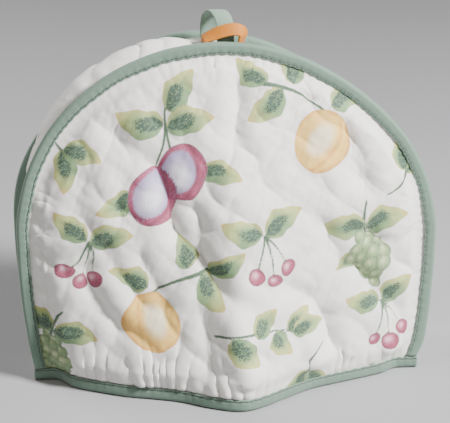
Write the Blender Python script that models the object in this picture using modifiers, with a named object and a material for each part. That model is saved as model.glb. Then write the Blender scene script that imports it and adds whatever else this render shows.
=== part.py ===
"""Quilted toaster cover: two arched panels, a gusset between them, bound seams, a bound hem and two loops.

Units are metres. +X is to the viewer's right, -Y faces the viewer and +Z is up.
The cover stands on its hem, empty, so its cloth sags at the sides and bows out at the foot.
"""
import math
from collections import namedtuple

import bmesh
import bpy
import numpy as np
from mathutils import Vector

# Outline of a panel, measured to the outer edge of its tape
HALF_WIDTH = 0.148
SPRING_HEIGHT = 0.105       # where the straight sides turn into the arch
FOOT_TUCK = 0.0075          # how far each side draws in at the floor
FOOT_TUCK_HEIGHT = 0.085    # height at which it starts to draw in
RIGHT_CURL = 0.0040         # how much further the right foot curls in
RIGHT_CURL_HEIGHT = 0.018
LEVEL_FOOT = 0.04           # height over which the seams' normals turn level

# Tape that binds the seams and the hem
GAP = 0.0003                # clearance between touching pieces
TAPE_WALL = 0.0008
TAPE_WIDTH = 0.0085         # visible width of the tape on a seam
HEM_HEIGHT = 0.009          # visible height of the tape on the hem
TAPE_ROUND = 0.0006         # softened outer corner of a folded tape
CLOTH_EDGE = 0.0012         # cloth pressed flat inside a tape

# Cloth
LOFT_LOW = 0.0030           # thickness along a quilting line
LOFT_HIGH = 0.0062          # thickness at the top of a puff
LOFT_START = 0.012          # distance over which the cloth swells beside a tape
GUSSET_LOFT = 0.0048        # thickness at the top of a puff of the gusset
PUFF_WIDTH = 0.038
PUFF_HEIGHT = 0.045
PUFF_SWAY = 0.006           # sideways wave of the quilting lines

# Levels of the cloth's lower edge and distances of its outer edge from the tape's outer edge
CLOTH_BOTTOM = TAPE_WALL + GAP
CLEAR_OF_HEM = HEM_HEIGHT + 0.0004
EDGE_INSETS = np.array((CLOTH_BOTTOM, TAPE_WIDTH + 0.0011, 0.0128))
FIN_BOTTOM = HEM_HEIGHT + GAP
FLANGE_BOTTOM = HEM_HEIGHT + 2 * GAP

# A seam: rise of its arch, sideways place, lean of its top, depth at the floor, at the top and at the
# right foot, and its shoulders as (angle in degrees from the right, share of the full arch)
Seam = namedtuple("Seam", "rise centre lean floor_depth top_depth right_foot shoulders")
FRONT = Seam(0.139, 0.0, 0.003, -0.028, -0.022, -0.010,
             ((0, 1.0), (28, 0.985), (52, 0.97), (72, 0.985), (92, 1.0), (180, 1.0)))
BACK = Seam(0.1365, -0.0035, 0.003, 0.025, 0.021, 0.0,
            ((0, 1.0), (30, 0.965), (58, 0.93), (80, 0.975), (98, 1.0), (120, 0.985), (145, 0.965),
             (165, 0.99), (180, 1.0)))
TOP = SPRING_HEIGHT + FRONT.rise

# How far the hem bows away from the seams: (place across the panel, bow)
FRONT_BOW = ((-1.0, 0.0), (-0.87, 0.014), (-0.72, 0.0235), (-0.57, 0.031), (-0.43, 0.0355), (-0.28, 0.0415),
             (-0.13, 0.0515), (0.04, 0.057), (0.15, 0.051), (0.27, 0.041), (0.43, 0.0285), (0.6, 0.0205),
             (0.78, 0.0125), (0.92, 0.0055), (1.0, 0.0))
BACK_BOW = ((-1.0, 0.0), (-0.8, 0.013), (-0.5, 0.031), (-0.2, 0.037), (0.1, 0.041), (0.35, 0.037),
            (0.6, 0.027), (0.85, 0.010), (1.0, 0.0))
BOW_FADE = 1.1              # how quickly the bow is lost towards the top

# Folds of the panels, each a soft ridge (positive) or trough (negative) along a line
Fold = namedtuple("Fold", "x0 z0 x1 z1 width rise")
FRONT_FOLDS = (
    Fold(0.006, 0.238, 0.005, 0.186, 0.010, -0.0045),
    Fold(-0.050, 0.158, -0.038, 0.118, 0.010, -0.0050),
    Fold(-0.038, 0.118, -0.022, 0.082, 0.010, -0.0050),
    Fold(-0.023, 0.134, -0.020, 0.100, 0.008, -0.0050),
    Fold(-0.020, 0.100, -0.004, 0.070, 0.008, -0.0055),
    Fold(-0.003, 0.066, 0.006, 0.020, 0.009, 0.0045),
    Fold(-0.020, 0.062, -0.014, 0.020, 0.009, -0.0040),
    Fold(-0.102, 0.092, -0.080, 0.050, 0.009, -0.0040),
    Fold(-0.086, 0.105, -0.066, 0.070, 0.009, -0.0040),
    Fold(-0.062, 0.100, -0.046, 0.066, 0.009, -0.0035),
    Fold(0.060, 0.190, 0.092, 0.140, 0.012, -0.0035),
    Fold(0.030, 0.075, 0.070, 0.040, 0.011, -0.0035),
    Fold(0.085, 0.085, 0.118, 0.050, 0.011, -0.0035),
    Fold(-0.095, 0.190, -0.060, 0.170, 0.012, -0.0030),
)
BACK_FOLDS = (
    Fold(-0.050, 0.170, -0.030, 0.080, 0.012, -0.0050),
    Fold(0.045, 0.160, 0.030, 0.060, 0.012, -0.0050),
    Fold(0.000, 0.110, 0.006, 0.020, 0.012, 0.0040),
    Fold(0.085, 0.120, 0.070, 0.040, 0.012, -0.0040),
)

# Crest of the gusset's inner face, from the tape's outer edge: (place along the seam, height)
# A place runs from -1 at the left foot through 0 and 1 at the ends of the arch to 2 at the right foot
GUSSET_CREST = ((-1.0, -0.021), (-0.6, -0.023), (-0.25, -0.018), (0.05, -0.010), (0.2, 0.0), (0.3, 0.0025),
                (0.41, 0.0), (0.49, -0.0070), (0.6, -0.0115), (0.8, -0.0145), (0.95, -0.018), (1.3, -0.023),
                (2.0, -0.021))
# First lines of the gusset beside a seam: (distance from the seam's middle, distance inside the tape's edge)
GUSSET_EDGE = ((GAP / 2, EDGE_INSETS[0]), (GAP / 2, EDGE_INSETS[1]), (0.0016, 0.0128), (0.0055, 0.015))

# Numbers of mesh lines
PANEL_GRIDS = {"front": (34, 12, 18), "back": (26, 9, 13)}      # columns, rows below and above the spring
GUSSET_LEG_STEPS = 9
GUSSET_ARCH_STEPS = 38
GUSSET_MIDDLE = 7
FIN_LEG_STEPS = 10
FIN_ARCH_STEPS = 38
LEG_SPACING = 1.5           # above 1, the lines lie closer together at the foot

# Loop of tape that stands on the top of the gusset: its feet lie one behind the other
LOOP_THICKNESS = 0.0012
HANG_WIDTH = 0.0115
HANG_CREST = 0.2606         # height of the loop's middle line
HANG_MIDDLE = -0.006        # sideways place of its middle
HANG_SKEW = -0.5            # sideways step for each step to the back
HANG_FRONT = 0.0085         # distance of its feet behind the front seam
HANG_BACK = 0.0275
HANG_STEPS = 16

# Strap loop behind the front tape: (share of its length, x, height, turn of its face to the viewer in degrees)
RIBBON_WIDTH = 0.0085
RIBBON_STEPS = 18
RIBBON_PATH = ((0.0, -0.0140, 0.2440, 30), (0.2, -0.0090, 0.2475, 50), (0.4, -0.0020, 0.2500, 62),
               (0.6, 0.0050, 0.2510, 60), (0.78, 0.0098, 0.2490, 45), (0.9, 0.0112, 0.2465, 25),
               (1.0, 0.0100, 0.2435, 15))
RIBBON_CLEAR = 0.0029       # distance of its front edge behind the front seam

GREEN = (0.36, 0.50, 0.42)
CREAM = (0.80, 0.77, 0.72)
ORANGE = (0.70, 0.29, 0.07)


def follow(rows, at):
    """Value of a two-column table at a place, on a smooth curve through its rows."""
    places, values = np.array(rows, dtype=float).T
    slopes = np.gradient(values, places)
    at = np.clip(at, places[0], places[-1])
    left = np.clip(np.searchsorted(places, at, side="right") - 1, 0, len(places) - 2)
    span = places[left + 1] - places[left]
    t = (at - places[left]) / span
    rest = 1 - t
    return (values[left] * (1 + 2 * t) * rest ** 2 + values[left + 1] * t ** 2 * (3 - 2 * t)
            + span * t * rest * (slopes[left] * rest - slopes[left + 1] * t))


def ease(value):
    """Smooth step from 0 to 1 as the value goes from 0 to 1."""
    value = np.clip(value, 0.0, 1.0)
    return value * value * (3 - 2 * value)


def lift(z):
    """Height above the hem's tape: the cloth keeps its plan inside the tape."""
    return np.maximum(z - CLEAR_OF_HEM, 0.0)


def half_width(z, side):
    """Half width of the straight sides, drawn in at the foot, on the left (side below 0) or the right."""
    curl = RIGHT_CURL * np.clip(1 - lift(z) / RIGHT_CURL_HEIGHT, 0, 1) ** 2
    return HALF_WIDTH - FOOT_TUCK * np.clip(1 - lift(z) / FOOT_TUCK_HEIGHT, 0, 1) ** 2 - curl * (side > 0)


def seam_depth(seam, x, z):
    """Depth (y) of a seam's middle plane."""
    high = ease((z - SPRING_HEIGHT) / seam.rise)
    low = np.clip(1 - lift(z) / SPRING_HEIGHT, 0, 1) ** 2
    foot = seam.right_foot * low * np.clip(0.5 + x / (2 * HALF_WIDTH), 0, 1)
    return seam.floor_depth + (seam.top_depth - seam.floor_depth) * high + foot


def arch_share(seam, angle):
    """Share of the full arch that its outline reaches at an angle, in degrees from the right."""
    return follow(seam.shoulders, angle)


def outline(seam, way):
    """x and z of the tape's outer edge, from the left foot (-1) over the arch (0 to 1) to the right foot (2)."""
    angle = math.pi * (1 - np.clip(way, 0, 1))
    share = arch_share(seam, np.degrees(angle))
    arch_x = HALF_WIDTH * np.cos(angle) * share - seam.lean * np.sin(angle)
    arch_z = SPRING_HEIGHT + seam.rise * np.sin(angle) * share
    leg_z = SPRING_HEIGHT * np.where(way < 0, 1 + way, 2 - way)
    leg_x = np.where(way < 0, -1, 1) * half_width(leg_z, way)
    on_leg = (way < 0) | (way > 1)
    return seam.centre + np.where(on_leg, leg_x, arch_x), np.where(on_leg, leg_z, arch_z)


def seam_line(seam, way, inset):
    """x and z of a line that keeps its distance inside the tape's outer edge, and the outward normal.

    Near the foot the normal is level, so that the cloth enters the hem's tape upright.
    """
    step = 0.002
    x, z = outline(seam, way)
    ahead_x, ahead_z = outline(seam, way + step)
    behind_x, behind_z = outline(seam, way - step)
    run_x, run_z = (ahead_x - behind_x) * ease(lift(z) / LEVEL_FOOT), ahead_z - behind_z
    length = np.hypot(run_x, run_z)
    out_x, out_z = -run_z / length, run_x / length
    return x - out_x * inset, z - out_z * inset, out_x, out_z


def half_disc(u, v):
    """Square (u from -1 to 1, v from 0 to 1) to the upper half of a disc, with even cells."""
    oval_x, oval_z = u * np.sqrt(1 - v * v / 2), v * np.sqrt(1 - u * u / 2)
    wide = np.abs(u) >= v
    size = np.where(wide, np.abs(u), v)
    safe = np.where(size == 0, 1, size)
    turn = math.pi / 4 * np.where(wide, v, u) / safe
    ring_x = np.where(wide, np.sign(u) * size * np.cos(turn), size * np.sin(turn))
    ring_z = np.where(wide, size * np.sin(turn), size * np.cos(turn))
    return (oval_x + ring_x) / 2, (oval_z + ring_z) / 2


def panel_plan(seam, col, row, columns, low_rows, high_rows):
    """Flat x and z of a panel's grid points. The outer rings follow the tape, the lower rows the hem."""
    rows = low_rows + high_rows
    ring = np.minimum(np.minimum(col, columns - col), rows - row)
    ring = np.minimum(ring, len(EDGE_INSETS) - 1).astype(int)
    inset = EDGE_INSETS[ring]
    u = (2 * col / columns - 1) * columns / (columns - 2 * ring)
    u = np.clip(u, -1, 1)
    low_z = hem_levels(row, low_rows)
    low_x = u * (half_width(low_z, u) - inset)
    across, up = half_disc(u, np.clip((row - low_rows) / (high_rows - ring), 0, 1))
    share = arch_share(seam, np.degrees(np.arctan2(up, across)))
    share = 1 - (1 - share) * np.hypot(across, up)
    arch_x = across * (HALF_WIDTH - inset) * share - seam.lean * up
    arch_z = SPRING_HEIGHT + up * (seam.rise - inset) * share
    low = row <= low_rows
    return seam.centre + np.where(low, low_x, arch_x), np.where(low, low_z, arch_z)


def hem_levels(row, rows):
    """Heights of the rows between the cloth's lower edge and the spring line."""
    start = CLEAR_OF_HEM + 0.0035
    higher = start + (SPRING_HEIGHT - start) * (np.maximum(row - 2, 0) / (rows - 2)) ** LEG_SPACING
    return np.where(row < 1, CLOTH_BOTTOM, np.where(row < 2, CLEAR_OF_HEM, higher))


def edge_distance(seam, x, z):
    """Distance inside the tape's outer edge."""
    side = x - seam.centre
    rise = np.maximum(z - SPRING_HEIGHT, 0)
    side = side + seam.lean * rise / seam.rise
    share = arch_share(seam, np.degrees(np.arctan2(rise / seam.rise, side / HALF_WIDTH)))
    reach = np.hypot(side / HALF_WIDTH, rise / seam.rise) / share
    return np.where(z > SPRING_HEIGHT, (1 - reach) * HALF_WIDTH, half_width(z, side) - np.abs(side))


def quilting(x, z):
    """Puffs of the quilting, from 0 on a stitched line to 1 at the top of a puff."""
    swayed = x + PUFF_SWAY * np.sin(2 * math.pi * z / PUFF_HEIGHT)
    one = np.sin(math.pi * (swayed / PUFF_WIDTH + z / PUFF_HEIGHT))
    other = np.sin(math.pi * (swayed / PUFF_WIDTH - z / PUFF_HEIGHT))
    return np.sqrt(np.abs(one * other))


def loft(edge, z, x):
    """Thickness of the quilted cloth: pressed flat at tapes, swelling beside them."""
    room = np.minimum(edge - EDGE_INSETS[1], z - CLEAR_OF_HEM)
    full = LOFT_LOW + (LOFT_HIGH - LOFT_LOW) * quilting(x, z)
    return CLOTH_EDGE + (full - CLOTH_EDGE) * ease(room / LOFT_START)


def fold_rise(folds, x, z):
    """Sum of the folds at a point of a panel."""
    total = np.zeros_like(x)
    for fold in folds:
        run_x, run_z = fold.x1 - fold.x0, fold.z1 - fold.z0
        along = ((x - fold.x0) * run_x + (z - fold.z0) * run_z) / (run_x ** 2 + run_z ** 2)
        held = np.clip(along, 0, 1)
        away = np.hypot(x - fold.x0 - held * run_x, z - fold.z0 - held * run_z)
        total += fold.rise * np.exp(-(away / fold.width) ** 2)
    return total


def panel_bulge(seam, bow_rows, folds, x, z):
    """How far a panel's inner face stands out from its seam's plane."""
    edge = edge_distance(seam, x, z)
    flat_half = np.where(z > SPRING_HEIGHT,
                         HALF_WIDTH * np.sqrt(np.clip(1 - ((z - SPRING_HEIGHT) / seam.rise) ** 2, 0.01, 1)),
                         half_width(z, x - seam.centre))
    across = np.clip((x - seam.centre) / (flat_half - EDGE_INSETS[-1]), -1, 1)
    left = np.clip(1 - lift(z) / (TOP - CLEAR_OF_HEM), 0, 1) ** BOW_FADE
    bow = follow(bow_rows, across) * left * ease((edge - EDGE_INSETS[1]) / 0.02)
    near_edge = ease((edge - EDGE_INSETS[1]) / 0.025) * ease(lift(z) / 0.02)
    return bow + fold_rise(folds, x, z) * near_edge


def add_grid(name, columns, rows):
    """A primitive grid as a new object, with the column and row of each of its points."""
    bpy.ops.mesh.primitive_grid_add(x_subdivisions=columns, y_subdivisions=rows, size=2)
    piece = bpy.context.object
    piece.name = name
    places = np.empty(len(piece.data.vertices) * 3)
    piece.data.vertices.foreach_get("co", places)
    places = places.reshape(-1, 3)
    col = np.rint((places[:, 0] + 1) / 2 * columns)
    row = np.rint((places[:, 1] + 1) / 2 * rows)
    return piece, col, row


def shape_grid(piece, points, thickness):
    """Moves a grid's points to the inner face of the cloth and thickens it outwards."""
    piece.data.vertices.foreach_set("co", points.astype(np.float32).ravel())
    piece.data.update()
    weights = piece.vertex_groups.new(name="loft")
    for index, value in enumerate(thickness / LOFT_HIGH):
        weights.add([index], float(value), "REPLACE")
    solidify = piece.modifiers.new("cloth", "SOLIDIFY")
    solidify.thickness = LOFT_HIGH
    solidify.offset = 1
    solidify.use_even_offset = False
    solidify.vertex_group = weights.name
    solidify.thickness_vertex_group = 0


def make_panel(side, seam, bow_rows, folds, facing):
    """An arched panel of quilted cloth. Facing is -1 for the front and 1 for the back."""
    columns, low_rows, high_rows = PANEL_GRIDS[side]
    piece, col, row = add_grid(side + "_panel", columns, low_rows + high_rows)
    if facing > 0:
        col = columns - col
    x, z = panel_plan(seam, col, row, columns, low_rows, high_rows)
    y = seam_depth(seam, x, z) + facing * (GAP / 2 + panel_bulge(seam, bow_rows, folds, x, z))
    shape_grid(piece, np.column_stack((x, y, z)), loft(edge_distance(seam, x, z), z, x))
    order = np.argsort(col[row == 0])
    foot = np.column_stack((x, y))[row == 0][order]
    return piece, foot


def gusset_ways():
    """Places along the seam of the gusset's cross lines, from the left foot to the right foot."""
    step = np.arange(GUSSET_LEG_STEPS + 1)
    leg = hem_levels(step, GUSSET_LEG_STEPS) / SPRING_HEIGHT - 1
    arch = np.arange(1, GUSSET_ARCH_STEPS) / GUSSET_ARCH_STEPS
    return np.concatenate((leg, arch, 1 - leg[::-1]))


def gusset_surface(way, line):
    """Points of the gusset's inner face, and its thickness, from a place along the seam and a line across."""
    last = GUSSET_MIDDLE + 2 * (len(GUSSET_EDGE) - 1) + 1
    from_edge = np.minimum(line, last - line).astype(int)
    edge_row = np.minimum(from_edge, len(GUSSET_EDGE) - 1)
    offset, inset = np.array(GUSSET_EDGE)[edge_row].T
    across = np.clip((line - len(GUSSET_EDGE) + 1) / (GUSSET_MIDDLE + 1), 0, 1)
    # The lines beside the seams end above the hem's front and back strips
    on_leg = (way < 0) | (way > 1)
    height = np.where(way < 0, 1 + way, 2 - way) * SPRING_HEIGHT
    raised = FLANGE_BOTTOM + (height - CLOTH_BOTTOM) * (SPRING_HEIGHT - FLANGE_BOTTOM) / (
        SPRING_HEIGHT - CLOTH_BOTTOM)
    height = np.where(from_edge < len(GUSSET_EDGE) - 1, raised, height)
    way = np.where(on_leg, np.where(way < 0, height / SPRING_HEIGHT - 1, 2 - height / SPRING_HEIGHT), way)
    front_x, front_z, front_out_x, front_out_z = seam_line(FRONT, way, inset)
    back_x, back_z, back_out_x, back_out_z = seam_line(BACK, way, inset)
    front_y = seam_depth(FRONT, front_x, front_z) + offset
    back_y = seam_depth(BACK, back_x, back_z) - offset
    above_hem = np.maximum(height, CLEAR_OF_HEM) / SPRING_HEIGHT
    crest_way = np.where(on_leg, np.where(way < 0, above_hem - 1, 2 - above_hem), way)
    rise = follow(GUSSET_CREST, crest_way) + GUSSET_EDGE[-1][1]
    rise = rise * (1 - (2 * across - 1) ** 2) ** 0.8
    share = np.where(from_edge < len(GUSSET_EDGE) - 1, (line > last / 2).astype(float), across)
    x = front_x + (back_x - front_x) * share + rise * (front_out_x + (back_out_x - front_out_x) * share)
    y = front_y + (back_y - front_y) * share
    z = front_z + (back_z - front_z) * share + rise * (front_out_z + (back_out_z - front_out_z) * share)
    travel = way * (HALF_WIDTH * math.pi) + 0.02
    full = LOFT_LOW + (GUSSET_LOFT - LOFT_LOW) * quilting(y, travel)
    swell = np.array((0, 0, 0, 0.6, 1.0))[np.minimum(from_edge, 4)]
    swell = np.minimum(swell, np.where(on_leg, ease((height - CLEAR_OF_HEM) / LOFT_START), 1))
    return np.column_stack((x, y, z)), CLOTH_EDGE + (full - CLOTH_EDGE) * swell


def make_gusset():
    """The strip between the panels, and the plan of its two feet."""
    ways = gusset_ways()
    lines = GUSSET_MIDDLE + 2 * (len(GUSSET_EDGE) - 1) + 1
    piece, col, row = add_grid("gusset", len(ways) - 1, lines)
    points, thickness = gusset_surface(ways[col.astype(int)], row)
    shape_grid(piece, points, thickness)
    feet = []
    for end in (0, len(ways) - 1):
        foot = points[col == end][np.argsort(row[col == end])]
        feet.append(foot[len(GUSSET_EDGE) - 1:1 - len(GUSSET_EDGE), :2])
    return piece, feet


def add_profile(name, points):
    """A closed flat outline that a curve is given as its section."""
    data = bpy.data.curves.new(name, "CURVE")
    data.dimensions = "2D"
    spline = data.splines.new("POLY")
    spline.points.add(len(points) - 1)
    for point, (across, up) in zip(spline.points, points):
        point.co = (across, up, 0, 1)
    spline.use_cyclic_u = True
    profile = bpy.data.objects.new(name, data)
    GUIDES.objects.link(profile)
    profile.hide_render = True
    profile.display_type = "WIRE"
    return profile


def folded_tape(name, slot, depth):
    """Section of a tape folded over an edge: its closed fold at the origin, its open side towards -X."""
    inner = slot / 2
    outer = inner + TAPE_WALL
    return add_profile(name, (
        (-depth, -outer), (-TAPE_ROUND, -outer), (0, -outer + TAPE_ROUND), (0, outer - TAPE_ROUND),
        (-TAPE_ROUND, outer), (-depth, outer), (-depth, inner), (-TAPE_WALL, inner),
        (-TAPE_WALL, -inner), (-depth, -inner)))


def sweep(name, points, profile, turned):
    """A strip with a constant section along a flat path, as a closed mesh. Turned stands the path upright."""
    data = bpy.data.curves.new(name, "CURVE")
    data.dimensions = "2D"
    data.bevel_mode = "OBJECT"
    data.bevel_object = profile
    data.use_fill_caps = True
    spline = data.splines.new("POLY")
    spline.points.add(len(points) - 1)
    for point, (along, up) in zip(spline.points, points):
        point.co = (along, up, 0, 1)
    curve = bpy.data.objects.new(name + "_path", data)
    bpy.context.collection.objects.link(curve)
    curve.rotation_euler = turned
    bpy.context.view_layer.update()
    evaluated = curve.evaluated_get(bpy.context.evaluated_depsgraph_get())
    mesh = bpy.data.meshes.new_from_object(evaluated)
    mesh.transform(curve.matrix_world)
    mesh.name = name
    shell = bmesh.new()
    shell.from_mesh(mesh)
    bmesh.ops.remove_doubles(shell, verts=shell.verts, dist=0.00002)
    bmesh.ops.recalc_face_normals(shell, faces=shell.faces)
    shell.to_mesh(mesh)
    shell.free()
    bpy.data.objects.remove(curve)
    piece = bpy.data.objects.new(name, mesh)
    bpy.context.collection.objects.link(piece)
    return piece


def move_points(piece, change):
    """Moves every point of a piece's mesh by a function of x, y and z."""
    for vertex in piece.data.vertices:
        vertex.co = change(*vertex.co)
    piece.data.update()


def make_seam_tape(name, seam):
    """The tape folded over a seam, a flat fin round the panel."""
    slot = 2 * (CLOTH_EDGE + GAP) + GAP
    profile = folded_tape(name + "_section", slot, TAPE_WIDTH)
    foot = FIN_BOTTOM / SPRING_HEIGHT - 1
    leg = foot * (1 - (np.arange(FIN_LEG_STEPS) / FIN_LEG_STEPS) ** LEG_SPACING)
    ways = np.concatenate((leg, np.arange(FIN_ARCH_STEPS + 1) / FIN_ARCH_STEPS, 1 - leg[::-1]))
    x, z = outline(seam, ways)
    fin = sweep(name, np.column_stack((x, z))[::-1], profile, UPRIGHT)

    def to_seam(px, py, pz):
        return px, py + float(seam_depth(seam, px, pz)), pz

    move_points(fin, to_seam)
    return fin


def make_hem(name, path, outward):
    """The tape folded up over the foot of a piece of cloth. The path is the cloth's inner face."""
    slot = CLOTH_EDGE + 2 * GAP
    ahead = np.gradient(path, axis=0)
    ahead /= np.linalg.norm(ahead, axis=1)[:, None]
    middle = path + outward * np.column_stack((ahead[:, 1], -ahead[:, 0])) * CLOTH_EDGE / 2
    inner = slot / 2
    outer = inner + TAPE_WALL
    profile = add_profile(name + "_section", (
        (-outer, TAPE_ROUND), (-outer + TAPE_ROUND, 0), (outer - TAPE_ROUND, 0), (outer, TAPE_ROUND),
        (outer, HEM_HEIGHT), (inner, HEM_HEIGHT), (inner, TAPE_WALL), (-inner, TAPE_WALL),
        (-inner, HEM_HEIGHT), (-outer, HEM_HEIGHT)))
    return sweep(name, middle, profile, FLAT)


def cloth_height(x, y, reach):
    """Highest point of the gusset's outer face near a place, seen from above."""
    surface = gusset.evaluated_get(bpy.context.evaluated_depsgraph_get())
    heights = []
    for step_x in (-1, -0.5, 0, 0.5, 1):
        for step_y in (-1, 0, 1):
            start = (x + step_x * reach, y + step_y * LOOP_THICKNESS, TOP + 0.1)
            found, place, _, _ = surface.ray_cast(start, (0, 0, -1))
            if found:
                heights.append(place.z)
    return max(heights)


def flat_section(name, width):
    """Section of a flat strap: its thickness lies in the path's plane, its width across it."""
    half, thin = width / 2, LOOP_THICKNESS / 2
    return add_profile(name, ((-thin, -half), (thin, -half), (thin, half), (-thin, half)))


def make_hang_loop():
    """A loop of tape that stands on the gusset, one foot behind the other."""
    seam_y = float(seam_depth(FRONT, np.array(HANG_MIDDLE), np.array(TOP)))
    middle = seam_y + (HANG_FRONT + HANG_BACK) / 2
    half = (HANG_BACK - HANG_FRONT) / 2
    feet = [cloth_height(HANG_MIDDLE + HANG_SKEW * side * half, middle + side * half, HANG_WIDTH / 2) + GAP
            for side in (-1, 1)]
    angle = math.pi * np.arange(HANG_STEPS + 1) / HANG_STEPS
    foot = np.where(angle < math.pi / 2, feet[0], feet[1])
    path = np.column_stack((middle - half * np.cos(angle), foot + (HANG_CREST - foot) * np.sin(angle) ** 0.8))
    loop = sweep("hang_loop", path, flat_section("hang_section", HANG_WIDTH), SIDEWAYS)
    move_points(loop, lambda x, y, z: (x + HANG_MIDDLE + HANG_SKEW * (y - middle), y, z))
    return loop


def make_ribbon_loop():
    """A narrow strap loop behind the front tape, with its face turned up towards the viewer."""
    share = np.arange(RIBBON_STEPS + 1) / RIBBON_STEPS
    rows = np.array(RIBBON_PATH)
    x, z, turn = (follow(rows[:, (0, column)], share) for column in (1, 2, 3))
    turn = np.radians(turn)
    seam_y = float(seam_depth(FRONT, x[0], TOP))
    y = seam_y + RIBBON_CLEAR + RIBBON_WIDTH / 2 * np.cos(turn)
    for end in (0, -1):
        z[end] = cloth_height(x[end], y[end], RIBBON_WIDTH / 2) + GAP + RIBBON_WIDTH / 2 * math.sin(turn[end])
    loop = sweep("ribbon_loop", np.column_stack((x, z)), flat_section("ribbon_section", RIBBON_WIDTH), UPRIGHT)
    run = np.gradient(np.column_stack((x, z)), axis=0)
    run /= np.linalg.norm(run, axis=1)[:, None]

    def turned(px, py, pz):
        near = int(np.argmin(np.hypot(x - px, z - pz)))
        up = py * math.sin(turn[near])
        return px - up * run[near, 1], y[near] + py * math.cos(turn[near]), pz + up * run[near, 0]

    move_points(loop, turned)
    return loop


def material(name, colour, roughness):
    """A plain cloth material."""
    made = bpy.data.materials.new(name)
    made.use_nodes = True
    shader = made.node_tree.nodes["Principled BSDF"]
    shader.inputs["Base Color"].default_value = (*colour, 1)
    shader.inputs["Roughness"].default_value = roughness
    shader.inputs["Metallic"].default_value = 0
    return made


UPRIGHT = (math.radians(90), 0, 0)
SIDEWAYS = (math.radians(90), 0, math.radians(90))
FLAT = (0, 0, 0)

for leftover in list(bpy.data.objects):
    bpy.data.objects.remove(leftover)
COVER = bpy.data.collections.new("toaster_cover")
GUIDES = bpy.data.collections.new("guides")
for group in (COVER, GUIDES):
    bpy.context.scene.collection.children.link(group)
bpy.context.view_layer.active_layer_collection = (
    bpy.context.view_layer.layer_collection.children["toaster_cover"])

front_panel, front_foot = make_panel("front", FRONT, FRONT_BOW, FRONT_FOLDS, -1)
back_panel, back_foot = make_panel("back", BACK, BACK_BOW, BACK_FOLDS, 1)
gusset, (left_foot, right_foot) = make_gusset()
front_tape = make_seam_tape("front_binding", FRONT)
back_tape = make_seam_tape("back_binding", BACK)
hem_pieces = [make_hem("hem_front", front_foot, 1), make_hem("hem_back", back_foot, -1),
              make_hem("hem_left", left_foot, -1), make_hem("hem_right", right_foot, 1)]

hang_loop = make_hang_loop()
ribbon_loop = make_ribbon_loop()

for kind, colour, pieces in (("cloth", CREAM, (front_panel, back_panel, gusset)),
                             ("tape", GREEN, (front_tape, back_tape, *hem_pieces, hang_loop)),
                             ("strap", ORANGE, (ribbon_loop,))):
    for piece in pieces:
        piece.data.materials.append(material(kind + "_" + piece.name, colour, 0.85))
        piece.data.shade_smooth()

# The origin is the middle of the cover's foot, on the surface it stands on
bpy.context.view_layer.update()
corners = [piece.matrix_world @ Vector(corner) for piece in COVER.objects for corner in piece.bound_box]
low = [min(corner[axis] for corner in corners) for axis in range(3)]
high = [max(corner[axis] for corner in corners) for axis in range(3)]
origin = bpy.data.objects.new("cover_origin", None)
GUIDES.objects.link(origin)
origin.location = (-(low[0] + high[0]) / 2, -(low[1] + high[1]) / 2, -low[2])
for piece in COVER.objects:
    piece.parent = origin
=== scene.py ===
"""Quilted toaster cover on a pale floor: printed cloth, bound seams, a bound hem and two loops."""
from collections import namedtuple
from math import cos, pi, radians, sin

import bpy
import numpy as np
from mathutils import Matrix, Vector


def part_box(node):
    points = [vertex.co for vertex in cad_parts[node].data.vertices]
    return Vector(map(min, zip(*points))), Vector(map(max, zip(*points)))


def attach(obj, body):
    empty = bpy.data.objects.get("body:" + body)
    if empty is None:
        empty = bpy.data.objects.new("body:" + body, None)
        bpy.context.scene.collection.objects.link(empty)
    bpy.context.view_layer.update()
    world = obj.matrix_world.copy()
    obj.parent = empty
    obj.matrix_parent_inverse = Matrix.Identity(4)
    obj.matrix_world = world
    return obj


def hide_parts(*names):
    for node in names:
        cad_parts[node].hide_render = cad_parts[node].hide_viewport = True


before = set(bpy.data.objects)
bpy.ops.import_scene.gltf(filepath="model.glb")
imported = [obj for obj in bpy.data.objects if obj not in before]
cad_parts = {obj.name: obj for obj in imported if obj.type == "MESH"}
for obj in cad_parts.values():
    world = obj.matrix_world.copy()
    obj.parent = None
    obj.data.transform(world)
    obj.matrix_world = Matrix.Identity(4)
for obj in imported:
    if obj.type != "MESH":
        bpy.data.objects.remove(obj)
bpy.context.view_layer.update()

scene = bpy.context.scene
for thing in bpy.context.selected_objects:
    thing.select_set(False)

# Outline of a panel, measured to the outer edge of its tape, as in the solids
HALF_WIDTH = 0.148
SPRING = 0.105              # height at which the arch starts
FOOT_TUCK = 0.0075
FOOT_TUCK_HEIGHT = 0.085
RIGHT_CURL = 0.004
RIGHT_CURL_HEIGHT = 0.018
LEVEL_FOOT = 0.04

# Tape and cloth
GAP = 0.0003
TAPE_WIDTH = 0.0085
HEM_HEIGHT = 0.009
CLOTH_EDGE = 0.0012
CLOTH_BOTTOM = 0.0011
CLEAR_OF_HEM = HEM_HEIGHT + 0.0004
FIN_BOTTOM = HEM_HEIGHT + GAP
FLANGE_BOTTOM = HEM_HEIGHT + 2 * GAP
LOFT_LOW = 0.003
LOFT_HIGH = 0.0062
LOFT_START = 0.012
GUSSET_LOFT = 0.0043
PUFF_WIDTH = 0.038
PUFF_HEIGHT = 0.045
PUFF_SWAY = 0.006
EDGE_INSETS = np.array((CLOTH_BOTTOM, TAPE_WIDTH + 0.0011, 0.0128))
TAPE_CLOTH = 0.0007         # thickness of the tape's own cloth
TAPE_HALF = 0.00245         # half the depth of the seam's folded tape
FOLD_ALLOWANCE = 0.0035     # extra width of a tape that is folded over cloth
SEAM_TAPE_CUT = 2 * TAPE_WIDTH + FOLD_ALLOWANCE
HEM_TAPE_CUT = 2 * HEM_HEIGHT + FOLD_ALLOWANCE
FULL_LOFT = 0.0085          # more than the quilted cloth's thickest point
LOOP_CLOTH = 0.0013

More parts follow.
